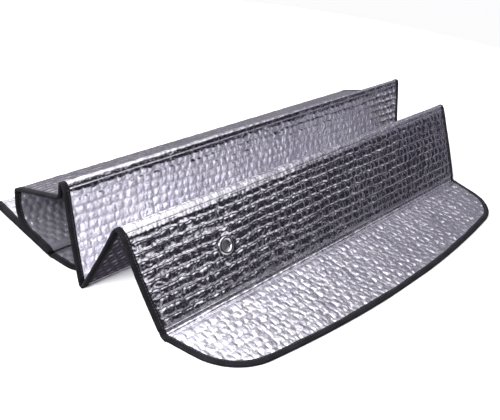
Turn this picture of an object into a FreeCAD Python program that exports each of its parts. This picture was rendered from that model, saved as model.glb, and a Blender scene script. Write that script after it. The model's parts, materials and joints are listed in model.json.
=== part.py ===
import FreeCAD, Part
import math
import os
from FreeCAD import Vector

os.makedirs("parts", exist_ok=True)

# Folding pad of bubble-foil laminate: nine panels in one zigzag chain, joined by eight pressed creases.
# Millimetres. X runs along the creases, +Y is away from the front flap, +Z is up, the ground is Z = 0.
# The chain is drawn in the Y-Z plane, standing half unfolded: a flap on the ground, two ridges, a pack behind.

# ---- driving dimensions ----
PANEL_WIDTH = 114.0  # from crease to crease
FRONT_LENGTH = 574.0  # length of the first crease
MIDDLE_LENGTH = 610.0  # length of the longest crease
REAR_LENGTH = 604.0  # length of the last crease
CORE = 2.7  # bubble film
FOIL = 0.2  # one metallised skin
TAPE = 0.35  # binding tape
TAPE_LAP = 6.5  # how far the binding reaches over each face
CREASE_GAP = 5.0  # from a crease's axis to the full-thickness board
RIB_RADIUS = 1.6  # the pressed fold line
WEB = 1.0  # the pressed-flat laminate beside the fold line
WEB_ROOT = 0.4  # the web that is one with its rib starts this far from the axis
CLEARANCE = 0.3  # between pieces that move
# End panels: depth from crease to the middle of the free edge, the same where the corners would be if they
# were square, how far those corners stand in, and the corner radius.
FRONT_FLAP = (105.5, 80.5, 19.0, 68.0)
REAR_FLAP = (58.0, 53.5, 8.0, 30.0)
EYELET_HOLE = 6.0  # radius
EYELET_BARREL = 7.0  # radius
EYELET_RIM = 11.0  # radius
EYELET_CREST = 1.35  # height of the rolled rim above the foil
EYELET_FLARE = 0.4  # the set end of the barrel, below the washer
SET_LIP = 1.0  # how far the set end reaches over the washer
SET_CHAMFER = 0.3
BARREL_FIT = 0.05  # between the barrel and what it passes through
BORE_LIP = 0.2  # the straight bore ends this far above the foil
WASHER_THICKNESS = 0.6
WASHER_CHAMFER = 0.2
EYELET_FROM_CENTRE = 179.0  # along the crease, to the left
WALL_RADIUS = 24.0  # panel 6, which bends under its own weight

BOARD = CORE / 2 + FOIL  # half the laminate
HALF = BOARD + TAPE  # half the thickness at the binding
STACK = HALF + CLEARANCE / 2  # from the axis of a closed fold to the middle of each board
SPARE = 30.0  # how far an outline runs past a crease
DEEP = 90.0  # half the height of the trimming prisms
OVER = 1.0  # how far a cutting solid stands out of what it cuts
TINY = 1e-6


# ---- the chain, in the Y-Z plane ----
# Panels 1 to 9 run from the front flap to the rear flap. Each crease turns the chain, and its axis lies on the
# inner face of its fold, so that the two boards can close flat on each other: INNER is 1 where that face is
# to the left of the way along the chain, -1 to the right, and 0 where the fold is nearly open.
INNER = [1, -1, 1, -1, -1, 1, -1, 0]
FIRST_RISE = 60.3  # heading of panel 2, in degrees from +Y
SECOND_RISE = 75.5  # heading of panel 4
LEAN = 3.5  # slope of the closed pack at the back
ROOF_REACH = 96.0  # crease 5 is this far behind crease 4
ROOF_DROP = 54.0  # and this far below it
ROOF_BEND = (4.0, -19.0)  # where panel 5 turns away from panel 4, from crease 4
ROOF_RADIUS = 14.0
WALL_BEHIND = 3.0  # the corner of panel 6 stands this far behind crease 5
PACK_FRONT = 185.0  # crease 8, behind crease 1
START = (0.0, HALF)


def heading(degrees):
    a = math.radians(degrees)
    return (math.cos(a), math.sin(a))


def unit(a, b):
    length = math.dist(a, b)
    return ((b[0] - a[0]) / length, (b[1] - a[1]) / length)


def left(t):
    return (-t[1], t[0])


def at(p, t, along, across=0.0):
    """The point that is along t, and across to its left, from p."""
    n = left(t)
    return (p[0] + t[0] * along + n[0] * across, p[1] + t[1] * along + n[1] * across)


def straight(axis, t, crease):
    """Panel after a crease: its middle line's two ends, and the axis of the next crease."""
    begin = at(axis, t, 0, -INNER[crease - 1] * STACK)
    end = at(begin, t, PANEL_WIDTH)
    return [begin, end], at(end, t, 0, INNER[crease] * STACK)


front = [at(START, (1, 0), -FRONT_FLAP[0]), START]
c1 = at(START, (1, 0), 0, INNER[0] * STACK)
rise_1, c2 = straight(c1, heading(FIRST_RISE), 1)
# The second fold comes down until its rib stands on the ground.
drop = math.asin((c2[1] - RIB_RADIUS) / math.hypot(PANEL_WIDTH, 2 * STACK))
fall_1, c3 = straight(c2, heading(-math.degrees(drop + math.atan(2 * STACK / PANEL_WIDTH))), 2)
rise_2, c4 = straight(c3, heading(SECOND_RISE), 3)
c5 = (c4[0] + ROOF_REACH, c4[1] - ROOF_DROP)
roof_bend = (c4[0] + ROOF_BEND[0], c4[1] + ROOF_BEND[1])
roof_in = at(c4, unit(c4, roof_bend), 0, STACK)
roof_out = at(c5, unit(roof_bend, c5), 0, STACK)
c8 = (PACK_FRONT, HALF)
back = heading(LEAN)
pack_back = at(c8, back, PANEL_WIDTH)
c7 = at(pack_back, back, 0, STACK)
upper_back = at(c7, back, 0, STACK)
upper_front = at(upper_back, back, -PANEL_WIDTH)
c6 = at(upper_front, back, 0, STACK)
wall_foot = at(c6, back, 0, STACK)
wall_bend = at(wall_foot, back, c5[0] + WALL_BEHIND - wall_foot[0])
wall_in = at(c5, unit(c5, wall_bend), 0, STACK)
rear_free = (c8[0] - REAR_FLAP[0], HALF)

PATHS = [
    front,
    rise_1,
    fall_1,
    rise_2,
    [roof_in, roof_bend, roof_out],
    [wall_in, wall_bend, wall_foot],
    [upper_front, upper_back],
    [pack_back, c8],
    [c8, rear_free],
]
BENDS = {4: ROOF_RADIUS, 5: WALL_RADIUS}
CREASES = [c1, c2, c3, c4, c5, c6, c7, c8]
PARTS = {}


def half_length(crease):
    """Half the length of a crease, 1 to 8. The pad is a little longer in the middle."""
    away = abs(crease - 4.5) / 3.5
    end = FRONT_LENGTH if crease < 4.5 else REAR_LENGTH
    return (MIDDLE_LENGTH + (end - MIDDLE_LENGTH) * away**4) / 2


def vec(p, x=0.0):
    return Vector(x, p[0], p[1])


def trims(i):
    """How much of panel i's middle line is pressed flat at its start and its end."""
    return (0.0 if i == 0 else CREASE_GAP, 0.0 if i == 8 else CREASE_GAP)


def rail(i, offset):
    """Edges of panel i's middle line, moved across by offset."""
    path = PATHS[i]
    first = unit(path[0], path[1])
    last = unit(path[-2], path[-1])
    start_trim, end_trim = trims(i)
    start = at(path[0], first, start_trim, offset)
    end = at(path[-1], last, -end_trim, offset)
    if len(path) == 2:
        return [Part.makeLine(vec(start), vec(end))]
    corner = path[1]
    turn = math.acos(first[0] * last[0] + first[1] * last[1])
    side = 1.0 if first[0] * last[1] - first[1] * last[0] > 0 else -1.0
    tangent = BENDS[i] * math.tan(turn / 2)
    into = at(corner, first, -tangent)
    centre = at(into, first, 0, side * BENDS[i])
    radius = BENDS[i] - side * offset
    towards = unit(centre, corner)
    a = at(into, first, 0, offset)
    b = at(corner, last, tangent, offset)
    middle = (centre[0] + towards[0] * radius, centre[1] + towards[1] * radius)
    arc = Part.Arc(vec(a), vec(middle), vec(b)).toShape()
    return [Part.makeLine(vec(start), vec(a)), arc, Part.makeLine(vec(b), vec(end))]


def band(i, low, high):
    """Panel i between two offsets from its middle line, along the whole of X."""
    below = rail(i, low)
    above = rail(i, high)
    ends = [
        Part.makeLine(below[-1].Vertexes[-1].Point, above[-1].Vertexes[-1].Point),
        Part.makeLine(below[0].Vertexes[0].Point, above[0].Vertexes[0].Point),
    ]
    wire = Part.Wire(Part.__sortEdges__(below + above + ends))
    face = Part.Face(wire)
    face.translate(Vector(-MIDDLE_LENGTH, 0, 0))
    return face.extrude(Vector(2 * MIDDLE_LENGTH, 0, 0))


def flap_outline(flap, near, side_in):
    """An end panel's outline in X and distance from its crease of half length near, drawn in by side_in."""
    depth, shoulder, taper, radius = flap
    corner_x = near - taper
    slope = taper / shoulder
    points = [
        Vector(-near - slope * SPARE, -SPARE, 0),
        Vector(-corner_x, shoulder, 0),
        Vector(corner_x, shoulder, 0),
        Vector(near + slope * SPARE, -SPARE, 0),
    ]
    crown = Part.Arc(points[1], Vector(0, depth, 0), points[2]).toShape()
    edges = [
        Part.makeLine(points[0], points[1]),
        crown,
        Part.makeLine(points[2], points[3]),
        Part.makeLine(points[3], points[0]),
    ]
    block = Part.Face(Part.Wire(edges)).extrude(Vector(0, 0, 2 * DEEP))
    corners = [
        e
        for e in block.Edges
        if abs(e.Length - 2 * DEEP) < TINY and e.Vertexes[0].Y > 0
    ]
    block = block.makeFillet(radius, corners)
    face = [f for f in block.Faces if f.CenterOfMass.z < TINY][0]
    if side_in:
        return face.makeOffset2D(-side_in)
    return face


def side_outline(i, side_in):
    """The outline of panel i, 1 to 7, in X and distance along the chord, drawn in by side_in."""
    chord = math.dist(PATHS[i][0], PATHS[i][-1])
    near = half_length(i) - side_in
    far = half_length(i + 1) - side_in
    points = [
        Vector(-near, -SPARE, 0),
        Vector(near, -SPARE, 0),
        Vector(far, chord + SPARE, 0),
        Vector(-far, chord + SPARE, 0),
    ]
    return Part.Face(Part.makePolygon(points + points[:1]))


def prism(i, side_in):
    """Everything over and under panel i's outline."""
    path = PATHS[i]
    if i in (0, 8):
        flap, near = (FRONT_FLAP, half_length(1)) if i == 0 else (REAR_FLAP, half_length(8))
        face = flap_outline(flap, near, side_in)
        crease, free = (path[1], path[0]) if i == 0 else (path[0], path[1])
    else:
        face = side_outline(i, side_in)
        crease, free = path[0], path[-1]
    t = unit(crease, free)
    n = left(t)
    face.Placement = FreeCAD.Placement(
        FreeCAD.Matrix(
            1, 0, 0, 0,
            0, t[0], n[0], crease[0] - n[0] * DEEP,
            0, t[1], n[1], crease[1] - n[1] * DEEP,
            0, 0, 0, 1,
        )
    ).multiply(face.Placement)
    return face.extrude(Vector(0, n[0], n[1]) * (2 * DEEP))


def layer(i, low, high, side_in):
    return band(i, low, high).common(prism(i, side_in))


def pierced(shape):
    """Panel 2's layers have a hole where the eyelet's barrel passes."""
    normal = eyelet_normal()
    start = eyelet_centre() - normal * DEEP
    return shape.cut(Part.makeCylinder(EYELET_BARREL + BARREL_FIT, 2 * DEEP, start, normal))


def eyelet_normal():
    return Vector(0, *left(unit(*PATHS[1])))


def eyelet_centre():
    begin, end = PATHS[1]
    return vec(at(begin, unit(begin, end), PANEL_WIDTH / 2), -EYELET_FROM_CENTRE)


def panel(i):
    """Bubble core, two foils and the binding of one panel."""
    name = f"panel_{i + 1}_"
    layers = {
        "bubble_core": layer(i, -CORE / 2, CORE / 2, 0),
        "top_foil": layer(i, CORE / 2, BOARD, 0),
        "bottom_foil": layer(i, -BOARD, -CORE / 2, 0),
    }
    around = layer(i, -HALF, HALF, -TAPE)
    inside = layer(i, -BOARD, BOARD, 0)
    middle = layer(i, -HALF - OVER, HALF + OVER, TAPE_LAP)
    binding = around.cut(inside).cut(middle)
    for key, shape in layers.items():
        PARTS[name + key] = pierced(shape) if i == 1 else shape
    PARTS[name + "binding"] = binding


def web(k, panel_index, at_start, reach_from):
    """The pressed-flat strip from crease k to one of its two panels."""
    path = PATHS[panel_index]
    t = unit(path[0], path[1]) if at_start else unit(path[-1], path[-2])
    board_end = path[0] if at_start else path[-1]
    axis = CREASES[k]
    n = left(t)
    beyond = (board_end[0] - axis[0]) * t[0] + (board_end[1] - axis[1]) * t[1]
    beside = (board_end[0] - axis[0]) * n[0] + (board_end[1] - axis[1]) * n[1]
    reach_to = beyond + CREASE_GAP
    if INNER[k]:
        side = 1.0 if beside > 0 else -1.0
        low, high = sorted((side * CLEARANCE / 2, side * (CLEARANCE / 2 + WEB)))
    else:
        low, high = -WEB / 2, WEB / 2
    corners = [
        vec(at(axis, t, reach_from, low)),
        vec(at(axis, t, reach_to, low)),
        vec(at(axis, t, reach_to, high)),
        vec(at(axis, t, reach_from, high)),
    ]
    half = half_length(k + 1)
    face = Part.Face(Part.makePolygon(corners + corners[:1]))
    face.translate(Vector(-half, 0, 0))
    return face.extrude(Vector(2 * half, 0, 0))


def crease(k):
    """Fold line k and its two webs. The rib belongs to the panel before it, the second web to the one after."""
    half = half_length(k + 1)
    rib = Part.makeCylinder(RIB_RADIUS, 2 * half, vec(CREASES[k], -half), Vector(1, 0, 0))
    before = web(k, k, False, WEB_ROOT)
    after = web(k, k + 1, True, RIB_RADIUS + CLEARANCE)
    PARTS[f"crease_{k + 1}_rib"] = rib.fuse(before).removeSplitter()
    PARTS[f"crease_{k + 1}_web"] = after


def on(radius, height):
    """A point of an eyelet's section. Height 0 is the middle of the board."""
    return Vector(radius, 0, height)


def lines(points):
    return [Part.makeLine(a, b) for a, b in zip(points, points[1:])]


def turned(edges):
    """A closed section, turned about the eyelet's axis."""
    shape = Part.Face(Part.Wire(edges)).revolve(Vector(0, 0, 0), Vector(0, 0, 1), 360)
    turn = FreeCAD.Rotation(Vector(0, 0, 1), eyelet_normal())
    shape.Placement = FreeCAD.Placement(eyelet_centre(), turn)
    return shape


def eyelet():
    """A rolled eyelet, its rim on the upper face, and the washer that it is set over."""
    bottom = -BOARD - WASHER_THICKNESS
    crest = on((EYELET_HOLE + EYELET_RIM) / 2, BOARD + EYELET_CREST)
    rim = Part.Arc(on(EYELET_RIM, BOARD), crest, on(EYELET_HOLE, BOARD + BORE_LIP)).toShape()
    barrel = [
        on(EYELET_HOLE, BOARD + BORE_LIP),
        on(EYELET_HOLE, bottom - EYELET_FLARE),
        on(EYELET_BARREL + SET_LIP - SET_CHAMFER, bottom - EYELET_FLARE),
        on(EYELET_BARREL + SET_LIP, bottom),
        on(EYELET_BARREL, bottom),
        on(EYELET_BARREL, BOARD),
        on(EYELET_RIM, BOARD),
    ]
    washer = [
        on(EYELET_BARREL + BARREL_FIT, -BOARD),
        on(EYELET_RIM, -BOARD),
        on(EYELET_RIM, bottom + WASHER_CHAMFER),
        on(EYELET_RIM - WASHER_CHAMFER, bottom),
        on(EYELET_BARREL + BARREL_FIT, bottom),
    ]
    PARTS["eyelet"] = turned([rim] + lines(barrel))
    PARTS["eyelet_washer"] = turned(lines(washer + washer[:1]))


for index in range(len(PATHS)):
    panel(index)
for number in range(len(CREASES)):
    crease(number)
eyelet()

# The origin is the middle of the footprint, on the ground.
boxes = [shape.optimalBoundingBox() for shape in PARTS.values()]
low_y = min(box.YMin for box in boxes)
high_y = max(box.YMax for box in boxes)
low_z = min(box.ZMin for box in boxes)
shift = Vector(0, -(low_y + high_y) / 2, -low_z)
for name, shape in PARTS.items():
    shape.translate(shift)
    shape.exportStep(f"parts/{name}.step")
    if not shape.isValid():
        print("not valid:", name)

print("shift", [round(v, 4) for v in shift])
for number, point in enumerate(CREASES):
    print(f"crease {number + 1}", [round(v, 4) for v in vec(point) + shift])
for index, path in enumerate(PATHS):
    slope = math.degrees(math.atan2(path[-1][1] - path[0][1], path[-1][0] - path[0][0]))
    width = sum(edge.Length for edge in rail(index, 0)) + sum(trims(index))
    print(f"panel {index + 1}", "heading", round(slope, 4), "width", round(width, 2))
where = eyelet_centre() + shift
print("eyelet", [round(v, 4) for v in where], "normal", [round(v, 5) for v in eyelet_normal()])
print("nodes", len(PARTS))
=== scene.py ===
import json
import math

import bpy
import numpy as np
from mathutils import Matrix, Vector


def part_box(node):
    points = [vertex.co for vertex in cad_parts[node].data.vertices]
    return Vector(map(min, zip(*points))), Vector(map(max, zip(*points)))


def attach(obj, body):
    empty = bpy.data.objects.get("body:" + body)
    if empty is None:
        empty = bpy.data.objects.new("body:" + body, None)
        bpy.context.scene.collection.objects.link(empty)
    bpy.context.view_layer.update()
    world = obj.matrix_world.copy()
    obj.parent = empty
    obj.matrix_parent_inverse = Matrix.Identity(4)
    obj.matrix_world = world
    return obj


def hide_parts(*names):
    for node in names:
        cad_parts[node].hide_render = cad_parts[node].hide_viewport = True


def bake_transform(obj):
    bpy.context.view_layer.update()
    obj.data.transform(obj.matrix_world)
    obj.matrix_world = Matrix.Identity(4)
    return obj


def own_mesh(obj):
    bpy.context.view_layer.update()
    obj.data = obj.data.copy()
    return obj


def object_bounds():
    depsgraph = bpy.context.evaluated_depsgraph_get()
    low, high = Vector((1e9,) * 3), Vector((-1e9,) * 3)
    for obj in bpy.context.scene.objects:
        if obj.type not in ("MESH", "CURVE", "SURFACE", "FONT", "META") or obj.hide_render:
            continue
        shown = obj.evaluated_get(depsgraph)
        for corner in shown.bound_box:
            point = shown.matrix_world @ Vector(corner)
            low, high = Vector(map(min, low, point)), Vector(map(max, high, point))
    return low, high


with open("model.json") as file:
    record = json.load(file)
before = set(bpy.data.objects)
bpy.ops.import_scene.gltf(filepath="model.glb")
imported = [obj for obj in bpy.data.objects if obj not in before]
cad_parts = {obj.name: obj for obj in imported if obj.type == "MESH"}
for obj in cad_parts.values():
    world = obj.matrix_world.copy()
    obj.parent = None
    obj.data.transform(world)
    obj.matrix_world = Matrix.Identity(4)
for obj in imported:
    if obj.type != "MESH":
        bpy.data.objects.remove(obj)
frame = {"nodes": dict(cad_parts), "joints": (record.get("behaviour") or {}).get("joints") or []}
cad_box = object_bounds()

# A folding pad of bubble-foil laminate: nine padded panels, pressed creases between them, binding tape round
# the edge and one eyelet. Metres. X runs along the creases. Every panel is drawn over its rail: its middle
# line in the Y-Z plane, from crease to crease, with "across" to the left of the way along the chain.

# ---- sizes shared with the CAD part ----
PANELS = 9
FRONT_LENGTH = 0.574
MIDDLE_LENGTH = 0.610
REAR_LENGTH = 0.604
BOARD = 0.00155  # half the laminate
TAPE = 0.00035
HALF = BOARD + TAPE
STACK = HALF + 0.00015  # from a fold's axis to the middle of each board
TAPE_LAP = 0.0065
CREASE_GAP = 0.005
INNER = [1, -1, 1, -1, -1, 1, -1, 0]  # which side of the chain each crease's axis is on
FRONT_FLAP = (0.1055, 0.0805, 0.019, 0.068)  # depth, depth at the corners, taper, corner radius
REAR_FLAP = (0.058, 0.0535, 0.008, 0.030)
ROOF_BEND = (0.004, -0.019)
ROOF_RADIUS = 0.014
WALL_BEHIND = 0.003
WALL_RADIUS = 0.024
EYELET_RIM = 0.011
EYELET_HOLE = 0.0078  # the laminate stops at this radius, under the rim
SIDE_GAP = 0.0008  # from the fold of the tape in to the laminate's side
FLAP_GAP = 0.0015  # the same on the two end panels

# ---- steps and tolerances ----
RAIL_STEP = 0.0004
FOLD_STEP = 0.0008
TAPE_STEP = 0.0035
FINE = 0.0012  # mesh step on the panels that show most
COARSE = 0.0018
FINE_PANELS = (0, 1, 3)
SAME_PLACE = 1e-6

# ---- the look of the laminate ----
PITCH = 0.0106  # from one row of bubbles to the next
ROW_STEP = 0.87  # rows of round bubbles lie closer, as a share of the pitch
VALLEY = 0.0011  # height of the seams between bubbles over the middle of the board
PRESSED = 0.0011  # half the thickness of the laminate at a fold
FOLD_EDGE = PRESSED + 0.0002  # the same where a panel meets its fold
SETTLE = 0.0045  # over this distance the relief dies out towards the tape or a fold
# One value for each panel, from the front.
PUFF = [0.0016, 0.0021, 0.0016, 0.0011, 0.0007, 0.0016, 0.0009, 0.0009, 0.0014]  # bubbles over their seams
FLAT_TOP = [3.0, 4.2, 2.4, 2.4, 2.4, 2.4, 2.4, 2.4, 2.4]  # how flat the top of a bubble is: 2 is round
UNEVEN = [0.55, 0.7, 1.0, 0.4, 0.6, 1.0, 1.0, 1.0, 1.0]  # how much the bubbles differ
CELLED = [0.4, 0.45, 0.5, 0.6, 0.3, 0.5, 0.5, 0.5, 0.5]  # how far the bubbles of a row are parted
FLATTER = [1.0, 0.45, 1.0, 0.8, 1.0, 1.0, 1.0, 1.0, 1.0]  # PUFF at the right end, as a share of the left
CREASED = [0.5, 0.8, 0.7, 0.6, 0.6, 0.5, 0.5, 0.5, 0.5]  # depth of the wrinkles, as a share of a bubble
BOW = [0, 0.004, 0.003, 0.006, 0.004, 0.003, 0, 0, 0]  # how far the sheet waves out of its flat shape
# How much each panel swells beside its ridge, whether the ridge is at the panel's end, and how fast the
# swelling dies out to the right.
FLAT = (0, 0, 1)
SWELL = [FLAT, (0.0030, 1, 1), (0.0006, 0, 1), (0.0020, 1, 4), FLAT, FLAT, FLAT, FLAT, FLAT]
SWELL_WIDTH = 0.011
DOME = 0.0020  # height of the round bubbles on the under side
# Faces that lie against another panel, as panel and side, with lower bubbles and seams.
SNUG_FACES = {(5, 1), (6, 1), (6, -1), (7, -1), (7, 1), (8, 1)}
SNUG = (0.0008, 0.0010)
SNUG_DOME = 0.0007
SEED = 7
LATTICE = 97  # cells of random values before they repeat

# ---- how the folds bend and move ----
CLOSED = math.radians(170)  # a fold that turns further than this is shut
SHARP = 0.75  # how far an open fold is pressed in towards its axis
# The panels that bow, each with the crease in front of it. Their pieces get meshes of their own.
LIES_FLAT = {4: "crease_4_fold", 5: "crease_5_fold"}


# ---- smooth random fields ----
def lattice(seed):
    return np.random.default_rng(SEED * 1000 + seed).random((LATTICE, LATTICE))


def noise(seed, u, v):
    """Smooth value noise from 0 to 1, one lattice cell per unit."""
    grid, size = lattice(seed), LATTICE
    iu, iv = np.floor(u).astype(int), np.floor(v).astype(int)
    fu, fv = u - iu, v - iv
    fu, fv = fu * fu * (3 - 2 * fu), fv * fv * (3 - 2 * fv)
    a, b = grid[iu % size, iv % size], grid[(iu + 1) % size, iv % size]
    c, d = grid[iu % size, (iv + 1) % size], grid[(iu + 1) % size, (iv + 1) % size]
    return (a * (1 - fu) + b * fu) * (1 - fv) + (c * (1 - fu) + d * fu) * fv


# ---- the chain ----
def unit(a, b):
    d = np.subtract(b, a)
    return d / np.hypot(*d)


def left(t):
    return np.array([-t[1], t[0]])


def moved(p, t, along, across=0.0):
    return np.asarray(p) + np.asarray(t) * along + left(t) * across


def turned(d, angle):
    c, s = math.cos(angle), math.sin(angle)
    return np.array([c * d[0] - s * d[1], s * d[0] + c * d[1]])


axes = [np.array(j["pos_m"][1:]) for j in frame["joints"]]  # Y and Z of creases 1 to 8


def straight_ends(i):
    """Both ends of the middle line of a panel between creases i and i + 1."""
    a, b = axes[i - 1], axes[i]
    sa, sb = INNER[i - 1], INNER[i]
    span = np.hypot(*(b - a))
    tilt = math.atan2(b[1] - a[1], b[0] - a[0]) - math.asin((sb - sa) * STACK / span)
    t = np.array([math.cos(tilt), math.sin(tilt)])
    return moved(a, t, 0, -sa * STACK), moved(b, t, 0, -sb * STACK)


def chain():
    c4, c5, c6, c8 = axes[3], axes[4], axes[5], axes[7]
    roof_bend = c4 + ROOF_BEND
    roof = [moved(c4, unit(c4, roof_bend), 0, STACK), roof_bend, moved(c5, unit(roof_bend, c5), 0, STACK)]
    upper = straight_ends(6)
    back = unit(*upper)
    foot = moved(c6, back, 0, STACK)
    wall_bend = moved(foot, back, c5[0] + WALL_BEHIND - foot[0])
    wall = [moved(c5, unit(c5, wall_bend), 0, STACK), wall_bend, foot]
    start = np.array([axes[0][0], axes[0][1] - STACK])
    front = [start - (FRONT_FLAP[0], 0), start]
    rear = [c8, c8 - (REAR_FLAP[0], 0)]
    standing = [straight_ends(i) for i in (1, 2, 3)]
    return [front, *standing, roof, wall, upper, straight_ends(7), rear]


class Rail:
    """A middle line that can be read at any distance along it."""

    def __init__(self, path, radius=0.0):
        points = [np.asarray(p, float) for p in path]
        if len(points) == 3:
            points = self.rounded(points, radius)
        self.lay(points, RAIL_STEP)

    def lay(self, points, step):
        """Lays the line through the points in short steps, and measures it."""
        line = [points[0]]
        for a, b in zip(points, points[1:]):
            count = max(1, int(np.hypot(*(b - a)) / step))
            line += [a + (b - a) * n / count for n in range(1, count + 1)]
        self.line = np.array(line)
        steps = np.diff(self.line, axis=0)
        self.along = np.concatenate([[0], np.cumsum(np.hypot(*steps.T))])
        self.length = self.along[-1]
        self.turn = np.unwrap(np.arctan2(steps[:, 1], steps[:, 0]))
        self.middles = (self.along[1:] + self.along[:-1]) / 2

    @staticmethod
    def rounded(points, radius):
        a, corner, b = points
        ta, tb = unit(a, corner), unit(corner, b)
        turn = math.acos(float(ta @ tb))
        side = 1.0 if ta[0] * tb[1] - ta[1] * tb[0] > 0 else -1.0
        tangent = radius * math.tan(turn / 2)
        into = corner - ta * tangent
        centre = moved(into, ta, 0, side * radius)
        arc = [centre + turned(into - centre, side * turn * n / 24) for n in range(25)]
        return [a, *arc, b]

    def place(self, x, s, across):
        """Points in space at x, s along the rail and across it."""
        y = np.interp(s, self.along, self.line[:, 0])
        z = np.interp(s, self.along, self.line[:, 1])
        turn = np.interp(s, self.middles, self.turn)
        return np.stack([x, y - np.sin(turn) * across, z + np.cos(turn) * across], -1)

    def heading(self, s):
        turn = float(np.interp(s, self.middles, self.turn))
        return np.array([math.cos(turn), math.sin(turn)])


paths = chain()
radii = {4: ROOF_RADIUS, 5: WALL_RADIUS}
rails = [Rail(path, radii.get(i, 0.0)) for i, path in enumerate(paths)]


def half_length(crease):
    away = abs(crease - 4.5) / 3.5
    end = FRONT_LENGTH if crease < 4.5 else REAR_LENGTH
    return (MIDDLE_LENGTH + (end - MIDDLE_LENGTH) * away**4) / 2


# ---- outlines, as X and distance along the rail ----
def flap_edge(flap, near):
    """Half of an end panel's edge, from its crease to mid-edge, as X and distance from the crease."""
    depth, shoulder, taper, radius = flap
    corner = np.array([near - taper, shoulder])
    start = np.array([near, 0.0])
    crown_slope = unit(corner, (0.0, depth + (depth - shoulder)))
    side = unit(start, corner)
    turn = math.acos(float(side @ crown_slope))
    tangent = radius * math.tan(turn / 2)
    into = corner - side * tangent
    centre = into + left(side) * radius
    points = [start]
    points += [start + (into - start) * n / 24 for n in range(1, 24)]
    points += [centre + turned(into - centre, turn * n / 20) for n in range(21)]
    last = points[-1]
    for n in range(1, 61):
        x = last[0] * (1 - n / 60)
        share = 1 - (x / last[0]) ** 2
        points.append(np.array([x, last[1] + (depth - last[1]) * share]))
    return np.array(points)


def edges(i):
    """Panel i's open edges, each a list of X and distance along the rail, with the laminate on its left."""
    rail = rails[i]
    if i in (0, PANELS - 1):
        half = flap_edge(FRONT_FLAP, half_length(1)) if i == 0 else flap_edge(REAR_FLAP, half_length(8))
        other = half[-2::-1] * (-1, 1)
        line = np.vstack([half, other])
        if i == 0:
            line = np.stack([line[:, 0], rail.length - line[:, 1]], -1)[::-1]
        return [line]
    near, far = half_length(i), half_length(i + 1)
    s = np.linspace(0, rail.length, 80)
    reach = near + (far - near) * s / rail.length
    return [np.stack([reach, s], -1), np.stack([-reach, s], -1)[::-1]]


def inside(loop, x, s):
    """Which points are in the loop."""
    hit = np.zeros(x.shape, bool)
    for (x1, s1), (x2, s2) in zip(loop, np.roll(loop, -1, 0)):
        if s1 == s2:
            continue
        crosses = (s1 > s) != (s2 > s)
        hit ^= crosses & (x < (x2 - x1) * (s - s1) / (s2 - s1) + x1)
    return hit


def edge_distance(i, x, s):
    """Distance to the nearest open edge."""
    best = np.full(x.shape, 1.0)
    for line in edges(i):
        for a, b in zip(line[::2], line[2::2]):
            d = b - a
            t = np.clip(((x - a[0]) * d[0] + (s - a[1]) * d[1]) / (d @ d), 0, 1)
            best = np.minimum(best, np.hypot(x - a[0] - t * d[0], s - a[1] - t * d[1]))
    return best


def warp(i, x, s):
    """How far panel i's middle surface bows out of its flat shape, to the left. Nothing at the creases."""
    length = rails[i].length
    wave = noise(40 + i, x / 0.13 + 9, s / 0.2 + 3) - 0.5
    bow = BOW[i] * np.sin(np.pi * np.clip(s / length, 0, 1)) * wave
    return bow + swelled(i, x, length - s if SWELL[i][1] else s)


def swelled(i, x, away):
    """How far panel i swells at a distance from its ridge, before it turns over. Less towards the right."""
    away = np.maximum(away, 0) / SWELL_WIDTH
    towards_left = np.clip(0.72 - x / 0.6, 0.2, 1) ** SWELL[i][2]
    return SWELL[i][0] * away * np.exp(1 - away) * towards_left


# ---- the laminate's relief ----
def ridged(seed, u, v, sharp):
    """Narrow random ridges, 1 on their crests."""
    return (1 - np.abs(2 * noise(seed, u, v) - 1)) ** sharp


def snug(i, side):
    """Puff and valley of a face: less on the faces that lie against another panel."""
    return SNUG if (i, side) in SNUG_FACES else (PUFF[i], VALLEY)


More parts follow.
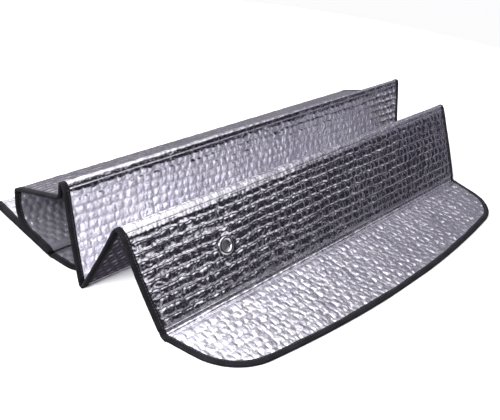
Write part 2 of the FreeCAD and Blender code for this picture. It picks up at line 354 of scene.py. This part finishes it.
def relief(i, side, x, s, edge):
    """Height of a face over the board's middle: rows of bubbles, wrinkles, and puckers at the tape."""
    seed = 10 * i + 3 * side
    length = rails[i].length
    rows = max(1, round((length - 2 * CREASE_GAP) / PITCH))
    r = (s - CREASE_GAP) / (length - 2 * CREASE_GAP) * rows
    r = r + 0.30 * (noise(seed, x / 0.06 + 20, s / 0.03 + 20) - 0.5)
    r = r + 0.20 * (noise(seed + 8, x / 0.0048 + 90, s / 0.01 + 20) - 0.5)
    row = np.floor(r)
    across = r - row
    line = row.astype(int) % LATTICE
    table = lattice(seed + 1)
    phase = 0.5 * (line % 2) + 0.35 * table[line, 0]
    c = x / PITCH + 40 + phase + 0.5 * (noise(seed + 2, x / 0.012 + 50, row * 3.7 + 20) - 0.5)
    cell = np.floor(c)
    along = c - cell
    column = cell.astype(int) % LATTICE
    own = table[line, column]
    other = lattice(seed + 4)[line, column]
    # A row's upper shoulder is round and its lower one steep, as it hangs on its seam.
    pillow_row = 1 - np.abs(2 * across - 1) ** np.where(across < 0.5, 1.7 * FLAT_TOP[i], 0.75 * FLAT_TOP[i])
    pillow_cell = 1 - np.abs(2 * along - 1) ** (FLAT_TOP[i] + 0.6)
    puffed = pillow_row**0.8 * (1 - CELLED[i] + CELLED[i] * pillow_cell**0.8)
    tilt = (own - 0.5) * (along - 0.5) + 1.2 * (other - 0.5) * (across - 0.5)
    bump = puffed * (0.75 + 0.35 * own * UNEVEN[i]) + 0.8 * UNEVEN[i] * tilt * pillow_row * pillow_cell
    wrinkle = 0.36 * ridged(seed + 5, x / 0.0085 + 30, s / 0.022 + 30, 7)
    wrinkle += 0.30 * ridged(seed + 6, (x + s) / 0.012 + 30, (s - x) / 0.016 + 60, 8)
    wrinkle += 0.22 * ridged(seed + 9, (x - 0.6 * s) / 0.006 + 30, s / 0.007 + 60, 4)
    slow = 0.35 * (noise(seed + 7, x / 0.035 + 30, s / 0.03 + 30) - 0.5)
    near_tape = np.exp(-np.maximum(edge - TAPE_LAP, 0) / 0.007)
    gather = 0.45 * ridged(seed + 10, x / 0.0075 + 30, s / 0.0075 + 30, 3) * near_tape
    puff, valley = snug(i, side)
    puff = puff * (1 + (FLATTER[i] - 1) * np.clip(x / MIDDLE_LENGTH + 0.5, 0, 1))
    return valley + puff * np.clip(bump - CREASED[i] * wrinkle + slow - gather, -0.3, 1.4)


def domes(i, side, x, s):
    """Height of the under side over the board's middle: round bubbles, each second row set over by half."""
    seed = 10 * i + 300
    length = rails[i].length
    rows = max(1, round((length - 2 * CREASE_GAP) / (PITCH * ROW_STEP)))
    r = (s - CREASE_GAP) / (length - 2 * CREASE_GAP) * rows
    row = np.floor(r)
    line = row.astype(int) % LATTICE
    c = x / PITCH + 40 + 0.5 * (line % 2)
    cell = np.floor(c)
    own = lattice(seed)[line, cell.astype(int) % LATTICE]
    away = np.hypot(c - cell - 0.5, (r - row - 0.5) * ROW_STEP)
    dome = np.sqrt(np.clip(1 - (away / 0.47) ** 2, 0, 1))
    sunk = 0.45 * ridged(seed + 1, x / 0.012 + 30, s / 0.015 + 30, 5)
    slow = 0.3 * (noise(seed + 2, x / 0.04 + 30, s / 0.03 + 30) - 0.5)
    tall = SNUG_DOME if (i, side) in SNUG_FACES or i == 2 else DOME
    return snug(i, side)[1] + tall * np.clip(dome * (0.7 + 0.5 * own) - sunk * dome + slow, -0.15, 1.25)


def settle(height, distance, reach, low):
    """Lets the height down to low within reach of something."""
    share = np.clip(distance / reach, 0, 1)
    share = share * share * (3 - 2 * share)
    return low + (height - low) * share


# ---- meshes ----
def make(name, points, faces, material, under=None, under_faces=()):
    mesh = bpy.data.meshes.new(name)
    mesh.from_pydata([tuple(p) for p in points], [], [tuple(int(v) for v in f) for f in faces])
    mesh.validate()
    mesh.polygons.foreach_set("use_smooth", [True] * len(mesh.polygons))
    mesh.materials.append(material)
    if under:
        mesh.materials.append(under)
        shares = np.zeros(len(mesh.polygons), int)
        shares[under_faces] = 1
        mesh.polygons.foreach_set("material_index", shares)
    piece = bpy.data.objects.new(name, mesh)
    bpy.context.scene.collection.objects.link(piece)
    return piece


def slab(top, bottom, kept):
    """A closed slab between two grids of points, over the grid squares that are kept.

    Returns its points, its faces, and the numbers of the faces on its under side.
    """
    index = np.full(kept.shape, -1)
    quad = kept[:-1, :-1] & kept[1:, :-1] & kept[1:, 1:] & kept[:-1, 1:]
    used = np.zeros(kept.shape, bool)
    for di in (0, 1):
        for dj in (0, 1):
            used[di:kept.shape[0] - 1 + di, dj:kept.shape[1] - 1 + dj] |= quad
    count = int(used.sum())
    index[used] = np.arange(count)
    a, b = index[:-1, :-1][quad], index[1:, :-1][quad]
    c, d = index[1:, 1:][quad], index[:-1, 1:][quad]
    upper = np.stack([a, b, c, d], -1)
    lower = np.stack([d, c, b, a], -1) + count
    pairs = np.concatenate([upper[:, [0, 1]], upper[:, [1, 2]], upper[:, [2, 3]], upper[:, [3, 0]]])
    keys = pairs[:, 0] * count + pairs[:, 1]
    back = pairs[:, 1] * count + pairs[:, 0]
    rim = pairs[~np.isin(keys, back)]
    wall = np.stack([rim[:, 1], rim[:, 0], rim[:, 0] + count, rim[:, 1] + count], -1)
    points = np.concatenate([top[used], bottom[used]])
    return points, np.concatenate([upper, lower, wall]), np.arange(len(upper), 2 * len(upper))


def eyelet_place():
    """X and distance along panel 2 of the eyelet's middle."""
    low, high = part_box("eyelet")
    middle = (low + high) / 2
    start = paths[1][0]
    t = unit(*paths[1])
    return middle.x, float((np.array([middle.y, middle.z]) - start) @ t)


def laminate(i, material, under):
    """Panel i: a quilted face and a face of round bubbles, closed round the sides."""
    rail = rails[i]
    step = FINE if i in FINE_PANELS else COARSE
    start = 0.0 if i == 0 else CREASE_GAP
    end = rail.length if i == PANELS - 1 else rail.length - CREASE_GAP
    xs = np.linspace(-MIDDLE_LENGTH / 2, MIDDLE_LENGTH / 2, int(MIDDLE_LENGTH / step))
    ss = np.linspace(start, end, int((end - start) / step))
    s, x = np.meshgrid(ss, xs)
    if i not in (0, PANELS - 1):
        near, far = half_length(i), half_length(i + 1)
        reach = near + (far - near) * s / rail.length - SIDE_GAP
        x = x / (MIDDLE_LENGTH / 2) * reach
        kept = np.ones(x.shape, bool)
    else:
        kept = inside(np.vstack(edges(i)), x, s)
    edge = edge_distance(i, x, s)
    kept &= (edge > FLAP_GAP) | (i not in (0, PANELS - 1))
    at_start = s - start if i else np.full(s.shape, 1.0)
    at_end = end - s if i < PANELS - 1 else np.full(s.shape, 1.0)
    faces = {}
    for side in (1, -1):
        height = relief(i, side, x, s, edge) if side > 0 else domes(i, side, x, s)
        height = settle(height, np.maximum(edge - TAPE_LAP + 0.0018, 0), SETTLE, BOARD)
        height = settle(height, np.minimum(at_start, at_end), SETTLE, FOLD_EDGE)
        if i == 1:
            ex, es = eyelet_place()
            away = np.hypot(x - ex, s - es)
            beyond = np.maximum(away - EYELET_RIM, 0)
            # The sheet puckers in seven folds round the rim, which presses it flat.
            spoke = np.cos(7 * np.arctan2(s - es, x - ex) + 1.3) * np.exp(-beyond / 0.006)
            height = settle(height + 0.0006 * spoke, beyond, 0.004, BOARD)
            kept &= away > EYELET_HOLE
        faces[side] = rail.place(x, s, warp(i, x, s) + side * height)
    points, quads, below = slab(faces[1], faces[-1], kept)
    return make(f"panel_{i + 1}_laminate", points, quads, material, under, below)


def tape_section(half):
    """Binding tape in section: distance in from the edge, and height over the middle, outside then inside."""
    lap, thick = TAPE_LAP, TAPE
    outer = [(lap, half), (lap - 0.0006, half + thick * 0.9)]
    outer += [(lap * 0.5, half + thick * 1.2), (0.0012, half + thick)]
    for n in range(7):
        angle = math.pi / 2 - math.pi * n / 6
        outer.append((0.0004 - 0.0012 * math.cos(angle), (half + thick) * math.sin(angle)))
    outer += [(a, -h) for a, h in outer[3::-1]]
    inner = [(lap, -half + 0.0001), (0.0012, -half), (0.0005, 0.0), (0.0012, half), (lap, half - 0.0001)]
    return np.array(outer + inner)


def strip_mesh(name, runs, material):
    """Several strips as one piece. A strip is rows of section points, closed all round and at both ends."""
    points, faces = [], []
    base = 0
    for places in runs:
        rows, around = len(places), len(places[0])
        for r in range(rows - 1):
            here, there = base + r * around, base + (r + 1) * around
            for c in range(around):
                d = (c + 1) % around
                faces.append((here + c, here + d, there + d, there + c))
        faces.append(tuple(range(base + around - 1, base - 1, -1)))
        faces.append(tuple(base + (rows - 1) * around + c for c in range(around)))
        points += places
        base += rows * around
    return make(name, np.concatenate(points), faces, material)


def edge_reader(line):
    """Reads an open edge at a distance along it: its X and S, and the way in from the edge there."""
    steps = np.gradient(line, axis=0)
    steps /= np.hypot(*steps.T)[:, None]
    inward = np.stack([-steps[:, 1], steps[:, 0]], -1)
    travel = np.concatenate([[0], np.cumsum(np.hypot(*np.diff(line, axis=0).T))])
    return lambda w: [np.interp(w, travel, values) for values in (*line.T, *inward.T)]


def tape_stretch(line):
    """How much of an open edge a panel's own tape covers: all but the last few millimetres at a crease."""
    total = float(np.hypot(*np.diff(line, axis=0).T).sum())
    return CREASE_GAP, total - CREASE_GAP


def tape_runs(i):
    """The binding of panel i, as rows of section points. Each row stands square to the edge."""
    rail = rails[i]
    runs = []
    for number, line in enumerate(edges(i)):
        read = edge_reader(line)
        lo, hi = tape_stretch(line)
        places = []
        for w in np.linspace(lo, hi, max(8, int((hi - lo) / TAPE_STEP))):
            x, s, mx, ms = read(w)
            section = tape_section(BOARD)
            wobble = noise(70 + i, np.array([w / 0.02 + 7]), np.array([number * 5.3 + 2]))[0] - 0.5
            a = section[:, 0] + np.where(section[:, 0] > 0.6 * TAPE_LAP, 0.0011 * wobble, 0)
            ripple = noise(80 + i, np.array([w / 0.008 + 7]), np.array([number * 5.3 + 2]))[0]
            h = section[:, 1] * (1 + 0.10 * (ripple - 0.5))
            px, ps = x + mx * a, s + ms * a
            places.append(rail.place(px, ps, warp(i, px, ps) + h))
        runs.append(places)
    return runs


# ---- creases ----
class Fold(Rail):
    """The middle line across crease k, from one panel's full board to the next one's."""

    def __init__(self, k):
        a, b = rails[k], rails[k + 1]
        ta, tb = a.heading(a.length), b.heading(0)
        self.ta, self.tb = ta, tb
        self.end, self.begin = a.line[-1], b.line[0]
        axis = axes[k]
        first = self.end - ta * CREASE_GAP
        last = self.begin + tb * CREASE_GAP
        bend = []
        side = INNER[k]
        if side:
            turn = math.atan2(ta[0] * tb[1] - ta[1] * tb[0], float(ta @ tb))
            if turn * side < 0:
                turn += 2 * math.pi * side
            # An open fold is pressed to a sharp line at its axis. A closed one keeps its round turn.
            sharp = 0 if abs(turn) > CLOSED else SHARP
            for n in range(1, 12):
                pull = 1 - sharp * math.sin(math.pi * n / 12)
                bend.append(axis + pull * turned(self.end - axis, turn * n / 12))
        points = [first]
        for p in (self.end, *bend, self.begin, last):
            if np.hypot(*(p - points[-1])) > SAME_PLACE:
                points.append(p)
        self.lay(points, FOLD_STEP)


folds = [Fold(k) for k in range(PANELS - 1)]


def pinch(fold, s, wide, narrow):
    """A half thickness that goes from wide at both ends to narrow over the fold."""
    away = np.minimum(s, fold.length - s)
    share = np.clip(away / SETTLE, 0, 1)
    return wide + (narrow - wide) * share * share * (3 - 2 * share)


def fold_warp(k, x, s):
    """How far the sheet at fold k swells with the panel on each side of it."""
    fold = folds[k]
    before = swelled(k, x, CREASE_GAP - s) if SWELL[k][1] else 0
    after = 0 if SWELL[k + 1][1] else swelled(k + 1, x, s - fold.length + CREASE_GAP)
    return before + after


def crease_skin(k, material, under):
    """The pressed sheet across fold k, a little gathered along it."""
    fold = folds[k]
    half = half_length(k + 1) - SIDE_GAP
    xs = np.linspace(-half, half, int(2 * half / 0.0024))
    ss = np.linspace(0, fold.length, max(14, int(fold.length / 0.0008)))
    s, x = np.meshgrid(ss, xs)
    rough = noise(200 + k, x / 0.006 + 60, s / 0.004 + 4) - 0.5
    rough = rough + 0.6 * ridged(220 + k, x / 0.005 + 60, s / 0.003 + 4, 3)
    gather = 0.0006 * rough * np.sin(np.pi * s / fold.length) + fold_warp(k, x, s)
    height = pinch(fold, s, FOLD_EDGE, PRESSED * 0.85)
    top = fold.place(x, s, height + gather)
    bottom = fold.place(x, s, gather - height)
    points, quads, below = slab(top, bottom, np.ones(x.shape, bool))
    return make(f"crease_{k + 1}_fold", points, quads, material, under, below)


def crease_tape(k, material):
    """The binding at both ends of fold k."""
    fold = folds[k]
    runs = []
    overlap = 0.0006
    ss = np.linspace(-overlap, fold.length + overlap, max(16, int(fold.length / 0.0007)))
    reach = half_length(k + 1)
    for sign in (1, -1):
        places = []
        for s in ss[::sign]:
            section = tape_section(float(pinch(fold, np.clip(s, 0, fold.length), BOARD, PRESSED)))
            x = sign * (reach - section[:, 0])
            level = np.full(len(x), s)
            places.append(fold.place(x, level, fold_warp(k, x, level) + section[:, 1]))
        runs.append(places)
    return strip_mesh(f"crease_{k + 1}_tape", runs, material)


# ---- stitches ----
def stitches(i, material):
    """A line of stitches along the binding's inner edge, on both faces."""
    rail = rails[i]
    points, faces = [], []
    pitch, length, width = 0.0036, 0.0024, 0.00042
    ring = [(math.cos(a), math.sin(a)) for a in (0, math.pi / 2, math.pi, 3 * math.pi / 2)]
    for line in edges(i):
        read = edge_reader(line)
        lo, hi = tape_stretch(line)
        for n in range(int((hi - lo) / pitch)):
            middle = lo + (n + 0.5) * pitch
            for side in (1, -1):
                base = len(points)
                for share, swell in ((-0.5, 0.25), (-0.3, 1.0), (0.3, 1.0), (0.5, 0.25)):
                    x, s, mx, ms = read(middle + share * length)
                    for c, h in ring:
                        a = TAPE_LAP - 0.0022 + c * width * swell
                        up = side * (HALF + 0.0001 + h * width * swell * 0.8)
                        px, ps = np.array([x + mx * a]), np.array([s + ms * a])
                        points.append(rail.place(px, ps, warp(i, px, ps) + up)[0])
                for r in range(3):
                    for c in range(4):
                        d = (c + 1) % 4
                        here, there = base + 4 * r, base + 4 * r + 4
                        quad = (here + c, here + d, there + d, there + c)
                        faces.append(quad)
                faces.append((base + 3, base + 2, base + 1, base))
                faces.append((base + 12, base + 13, base + 14, base + 15))
    return make(f"panel_{i + 1}_stitches", points, faces, material)


# ---- materials ----
def material(name, colour, metallic, roughness):
    made = bpy.data.materials.new(name)
    made.use_nodes = True
    nodes = made.node_tree.nodes
    shader = nodes["Principled BSDF"]
    shader.inputs["Base Color"].default_value = (*colour, 1)
    shader.inputs["Metallic"].default_value = metallic
    shader.inputs["Roughness"].default_value = roughness
    return made, nodes, made.node_tree.links, shader


def texture(nodes, links, kind, coords, **values):
    node = nodes.new(kind)
    for key, value in values.items():
        node.inputs[key.replace("_", " ")].default_value = value
    links.new(coords, node.inputs["Vector"])
    return node


def ramp(nodes, links, source, low, high, a, b):
    node = nodes.new("ShaderNodeMapRange")
    node.inputs["From Min"].default_value = low
    node.inputs["From Max"].default_value = high
    node.inputs["To Min"].default_value = a
    node.inputs["To Max"].default_value = b
    links.new(source, node.inputs["Value"])
    return node.outputs["Result"]


def mix_colour(nodes, links, share, a, b):
    node = nodes.new("ShaderNodeMix")
    node.data_type = "RGBA"
    node.inputs["A"].default_value = (*a, 1)
    node.inputs["B"].default_value = (*b, 1)
    links.new(share, node.inputs["Factor"])
    return node.outputs["Result"]


def bump(nodes, links, height, distance, strength, before=None):
    node = nodes.new("ShaderNodeBump")
    node.inputs["Distance"].default_value = distance
    node.inputs["Strength"].default_value = strength
    links.new(height, node.inputs["Height"])
    if before:
        links.new(before, node.inputs["Normal"])
    return node.outputs["Normal"]


def foil_material(name, crumple, dull, bright, rough_low, rough_high):
    """Metallised film: mirror-bright, crumpled into small facets, a little duller where it has rubbed."""
    made, nodes, links, shader = material(name, bright, 1.0, 0.2)
    coords = nodes.new("ShaderNodeTexCoord").outputs["Object"]
    patches = texture(nodes, links, "ShaderNodeTexNoise", coords, Scale=28.0, Detail=3.0)
    fine = texture(nodes, links, "ShaderNodeTexNoise", coords, Scale=420.0, Detail=5.0, Roughness=0.6)
    facets = texture(nodes, links, "ShaderNodeTexVoronoi", coords, Scale=230.0, Randomness=1.0)
    big = texture(nodes, links, "ShaderNodeTexVoronoi", coords, Scale=95.0, Randomness=1.0)
    share = ramp(nodes, links, patches.outputs["Fac"], 0.3, 0.7, 0, 1)
    tint = mix_colour(nodes, links, share, dull, bright)
    links.new(tint, shader.inputs["Base Color"])
    rough = ramp(nodes, links, fine.outputs["Fac"], 0.3, 0.7, rough_low, rough_high)
    links.new(rough, shader.inputs["Roughness"])
    normal = bump(nodes, links, big.outputs["Distance"], 0.0012, 0.35 * crumple)
    normal = bump(nodes, links, facets.outputs["Distance"], 0.0006, 0.45 * crumple, normal)
    normal = bump(nodes, links, fine.outputs["Fac"], 0.0003, 0.5 * crumple, normal)
    links.new(normal, shader.inputs["Normal"])
    return made


def tape_material():
    """Woven charcoal tape, with a fine cross rib and a little lint."""
    made, nodes, links, shader = material("binding_tape", (0.012, 0.011, 0.014), 0.0, 0.8)
    coords = nodes.new("ShaderNodeTexCoord").outputs["Object"]
    lint = texture(nodes, links, "ShaderNodeTexNoise", coords, Scale=60.0, Detail=4.0)
    weave = texture(nodes, links, "ShaderNodeTexVoronoi", coords, Scale=1500.0, Randomness=0.25)
    fuzz = texture(nodes, links, "ShaderNodeTexNoise", coords, Scale=900.0, Detail=3.0)
    share = ramp(nodes, links, lint.outputs["Fac"], 0.35, 0.72, 0, 1)
    colour = mix_colour(nodes, links, share, (0.004, 0.004, 0.0055), (0.012, 0.011, 0.014))
    links.new(colour, shader.inputs["Base Color"])
    links.new(ramp(nodes, links, fuzz.outputs["Fac"], 0.3, 0.7, 0.62, 0.9), shader.inputs["Roughness"])
    shader.inputs["Specular IOR Level"].default_value = 0.12
    shader.inputs["Sheen Weight"].default_value = 0.03
    shader.inputs["Sheen Roughness"].default_value = 0.4
    normal = bump(nodes, links, weave.outputs["Distance"], 0.0003, 0.6)
    normal = bump(nodes, links, fuzz.outputs["Fac"], 0.0003, 0.4, normal)
    links.new(normal, shader.inputs["Normal"])
    return made


def thread_material():
    """Dark thread, with the bump of its twist and painted highlight and shade along the twist."""
    made, nodes, links, shader = material("binding_thread", (0.02, 0.02, 0.024), 0.0, 0.55)
    coords = nodes.new("ShaderNodeTexCoord").outputs["Object"]
    twist = texture(nodes, links, "ShaderNodeTexWave", coords, Scale=900.0, Distortion=2.0)
    # The colour goes from dark to light along the twist: painted shade in its grooves and painted highlight
    # on its plies.
    colour = mix_colour(nodes, links, twist.outputs["Fac"], (0.014, 0.014, 0.018), (0.05, 0.048, 0.055))
    links.new(colour, shader.inputs["Base Color"])
    links.new(bump(nodes, links, twist.outputs["Fac"], 0.0002, 0.6), shader.inputs["Normal"])
    return made


def metal_material(name, colour, rough):
    """Plated metal with fine turning marks and a few dull spots."""
    made, nodes, links, shader = material(name, colour, 1.0, rough)
    coords = nodes.new("ShaderNodeTexCoord").outputs["Object"]
    marks = texture(nodes, links, "ShaderNodeTexNoise", coords, Scale=1400.0, Detail=2.0)
    spots = texture(nodes, links, "ShaderNodeTexNoise", coords, Scale=320.0, Detail=4.0)
    dull = ramp(nodes, links, spots.outputs["Fac"], 0.35, 0.75, rough * 0.7, rough * 2.0)
    links.new(dull, shader.inputs["Roughness"])
    share = ramp(nodes, links, spots.outputs["Fac"], 0.45, 0.8, 0, 1)
    dark = tuple(c * 0.7 for c in colour)
    links.new(mix_colour(nodes, links, share, colour, dark), shader.inputs["Base Color"])
    links.new(bump(nodes, links, marks.outputs["Fac"], 0.0001, 0.3), shader.inputs["Normal"])
    return made


# ---- build the pad ----
foil = foil_material("foil", 1.0, (0.68, 0.67, 0.73), (0.82, 0.81, 0.85), 0.12, 0.28)
fold_foil = foil_material("foil_pressed", 0.8, (0.72, 0.71, 0.77), (0.84, 0.83, 0.87), 0.14, 0.30)
under_foil = foil_material("foil_under", 0.4, (0.40, 0.39, 0.45), (0.56, 0.55, 0.61), 0.14, 0.24)
under_shader = under_foil.node_tree.nodes["Principled BSDF"]
under_shader.inputs["Metallic"].default_value = 0.8
under_shader.inputs["Coat Weight"].default_value = 1.0
under_shader.inputs["Coat Roughness"].default_value = 0.07
tape = tape_material()
thread = thread_material()

for i in range(PANELS):
    body = f"panel_{i + 1}"
    pad = laminate(i, foil, under_foil)
    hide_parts(f"{body}_bubble_core", f"{body}_top_foil", f"{body}_bottom_foil")
    binding = strip_mesh(f"{body}_tape", tape_runs(i), tape)
    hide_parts(f"{body}_binding")
    seam = stitches(i, thread)
    for piece in (pad, binding, seam):
        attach(piece, body)
        if i in LIES_FLAT:
            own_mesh(piece)

for k in range(PANELS - 1):
    skin = crease_skin(k, fold_foil, under_foil)
    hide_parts(f"crease_{k + 1}_rib", f"crease_{k + 1}_web")
    ends = crease_tape(k, tape)
    for piece in (skin, ends):
        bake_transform(piece)

plated = metal_material("eyelet_plated", (0.80, 0.79, 0.80), 0.13)
washer_metal = metal_material("washer_plated", (0.58, 0.57, 0.58), 0.26)
for node, metal in (("eyelet", plated), ("eyelet_washer", washer_metal)):
    mesh = frame["nodes"][node].data
    mesh.materials.clear()
    mesh.materials.append(metal)

# ---- floor, light and camera ----
FLOOR_RADIUS = 1.1
FLOOR_LEVEL = cad_box[0].z - 0.0006
PLAIN_STRENGTH = 0.95  # of the studio, as the pad is lit by it
BACKDROP = (0.97, 0.97, 0.98)  # as the camera sees it
STUDIO_DIM, STUDIO_BRIGHT = (0.28, 0.27, 0.31), (1.25, 1.24, 1.28)
BACK_LIGHT = (-0.3, 0.35, 0.9)  # where the studio is brightest
# Each card: which way it lies, the cosines from that way between which it fades in, and its colour.
CARDS = [
    ((0.45, -0.30, 0.84), 0.84, 0.97, (1.8, 1.78, 1.83)),  # a smaller light, high in front
    ((1.0, 0.15, 0.25), 0.66, 0.98, (0.26, 0.25, 0.30)),  # a dimmer side, to the right
    ((0.90, -0.42, 0.14), 0.60, 0.97, (0.26, 0.25, 0.30)),  # and a dim one between that and the dark side
    ((0.50, -0.84, 0.18), 0.74, 0.92, (0.014, 0.012, 0.022)),  # the dark side
    ((0, 0, -1), -0.10, 0.12, (0.21, 0.20, 0.235)),  # all that lies below the horizon
    ((0, 0, -1), 0.40, 0.70, (0.035, 0.03, 0.045)),  # and darker straight below
    ((0.22, -0.75, -0.62), 0.70, 0.92, (1.5, 1.48, 1.53)),  # pale paper below, in front
]

floor_place = (0, 0, FLOOR_LEVEL)
bpy.ops.mesh.primitive_circle_add(vertices=96, radius=FLOOR_RADIUS, fill_type="NGON", location=floor_place)
floor = bpy.context.object
floor.name = "floor"
floor.data.materials.append(material("floor_paper", (0.93, 0.93, 0.94), 0.0, 0.9)[0])
# The foil mirrors the studio below it rather than the paper, and the paper throws no light up under the pad.
floor.visible_glossy = False
floor.visible_diffuse = False


def soft_light(name, place, target, size, power):
    light = bpy.data.lights.new(name, "AREA")
    light.shape = "RECTANGLE"
    light.size, light.size_y = size
    light.energy = power
    lamp = bpy.data.objects.new(name, light)
    lamp.location = place
    lamp.rotation_euler = (Vector(target) - Vector(place)).to_track_quat("-Z", "Y").to_euler()
    lamp.visible_camera = False
    bpy.context.scene.collection.objects.link(lamp)


soft_light("top_softbox", (-0.3, 0.4, 1.9), (0, 0, 0), (2.4, 1.8), 30)
soft_light("left_softbox", (-1.15, -0.28, 0.80), (-0.3, 0.12, 0.04), (0.5, 0.4), 24)


def sky():
    """A pale studio, with cards that are brighter or darker, which give the foil something to mirror."""
    world = bpy.data.worlds.new("studio")
    bpy.context.scene.world = world
    world.use_nodes = True
    nodes, links = world.node_tree.nodes, world.node_tree.links
    nodes.clear()
    way = nodes.new("ShaderNodeTexCoord").outputs["Generated"]

    def towards(direction, low, high):
        dot = nodes.new("ShaderNodeVectorMath")
        dot.operation = "DOT_PRODUCT"
        dot.inputs[1].default_value = Vector(direction).normalized()
        links.new(way, dot.inputs[0])
        share = nodes.new("ShaderNodeMapRange")
        share.interpolation_type = "SMOOTHSTEP"
        share.inputs["From Min"].default_value = low
        share.inputs["From Max"].default_value = high
        links.new(dot.outputs["Value"], share.inputs["Value"])
        return share.outputs["Result"]

    def card(before, share, colour):
        node = nodes.new("ShaderNodeMix")
        node.data_type = "RGBA"
        node.inputs["B"].default_value = (*colour, 1)
        links.new(share, node.inputs["Factor"])
        links.new(before, node.inputs["A"])
        return node.outputs["Result"]

    room = mix_colour(nodes, links, towards(BACK_LIGHT, 0.10, 0.75), STUDIO_DIM, STUDIO_BRIGHT)
    for direction, low, high, colour in CARDS:
        room = card(room, towards(direction, low, high), colour)
    lit = nodes.new("ShaderNodeBackground")
    lit.inputs["Strength"].default_value = PLAIN_STRENGTH
    links.new(room, lit.inputs["Color"])
    seen = nodes.new("ShaderNodeBackground")
    seen.inputs["Color"].default_value = (*BACKDROP, 1)
    choose = nodes.new("ShaderNodeMixShader")
    links.new(nodes.new("ShaderNodeLightPath").outputs["Is Camera Ray"], choose.inputs["Fac"])
    links.new(lit.outputs["Background"], choose.inputs[1])
    links.new(seen.outputs["Background"], choose.inputs[2])
    out = nodes.new("ShaderNodeOutputWorld")
    links.new(choose.outputs["Shader"], out.inputs["Surface"])


sky()

SENSOR = 36.0  # millimetres
FOCAL = 47.49
TURN, DOWN, ROLL = math.radians(49.17), math.radians(31.12), math.radians(7.71)
EYE = Vector((-0.610, axes[0][0] - 0.3703, 0.4556))
forward = Vector((math.cos(DOWN) * math.sin(TURN), math.cos(DOWN) * math.cos(TURN), -math.sin(DOWN)))
level = Vector((math.cos(TURN), -math.sin(TURN), 0))
upright = level.cross(forward)
right = level * math.cos(ROLL) + upright * math.sin(ROLL)
up = upright * math.cos(ROLL) - level * math.sin(ROLL)
camera = bpy.data.objects.new("camera", bpy.data.cameras.new("camera"))
camera.data.lens = FOCAL
camera.data.sensor_width = SENSOR
camera.matrix_world = Matrix((right, up, -forward)).transposed().to_4x4()
camera.location = EYE
bpy.context.scene.collection.objects.link(camera)
bpy.context.scene.camera = camera
bpy.context.scene.view_settings.view_transform = "Standard"
